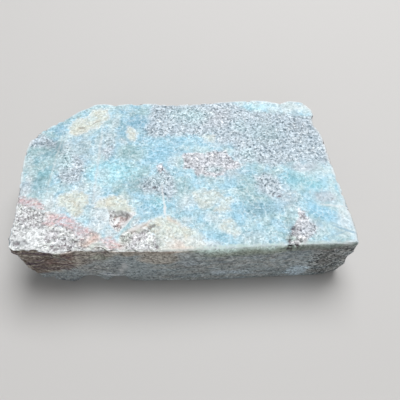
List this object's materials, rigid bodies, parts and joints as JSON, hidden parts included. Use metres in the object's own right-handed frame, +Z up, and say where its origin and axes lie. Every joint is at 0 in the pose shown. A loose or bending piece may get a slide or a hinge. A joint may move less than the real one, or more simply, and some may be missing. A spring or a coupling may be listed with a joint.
{
  "type": "raw larimar slab",
  "caption": "Thick slab of raw pale blue larimar with a sawn flat top, underside and front, and broken, undercut sides, which rests on its flat underside.",
  "frame": {"origin": "middle of the bottom of the bounding box, on the plane of the flat underside", "axes": "+X along the sawn front from left to right, +Y from the sawn front to the broken back, +Z up through the thickness"},
  "size_m": [0.1138, 0.0676, 0.0231],
  "materials": {
    "larimar": "matt sawn stone, pale sky blue mottled with grey speckle, white calcite, cream, coral pink and grey-green"
  },
  "bodies": {
    "root": {"larimar_slab": "larimar"}
  },
  "joints": []
}
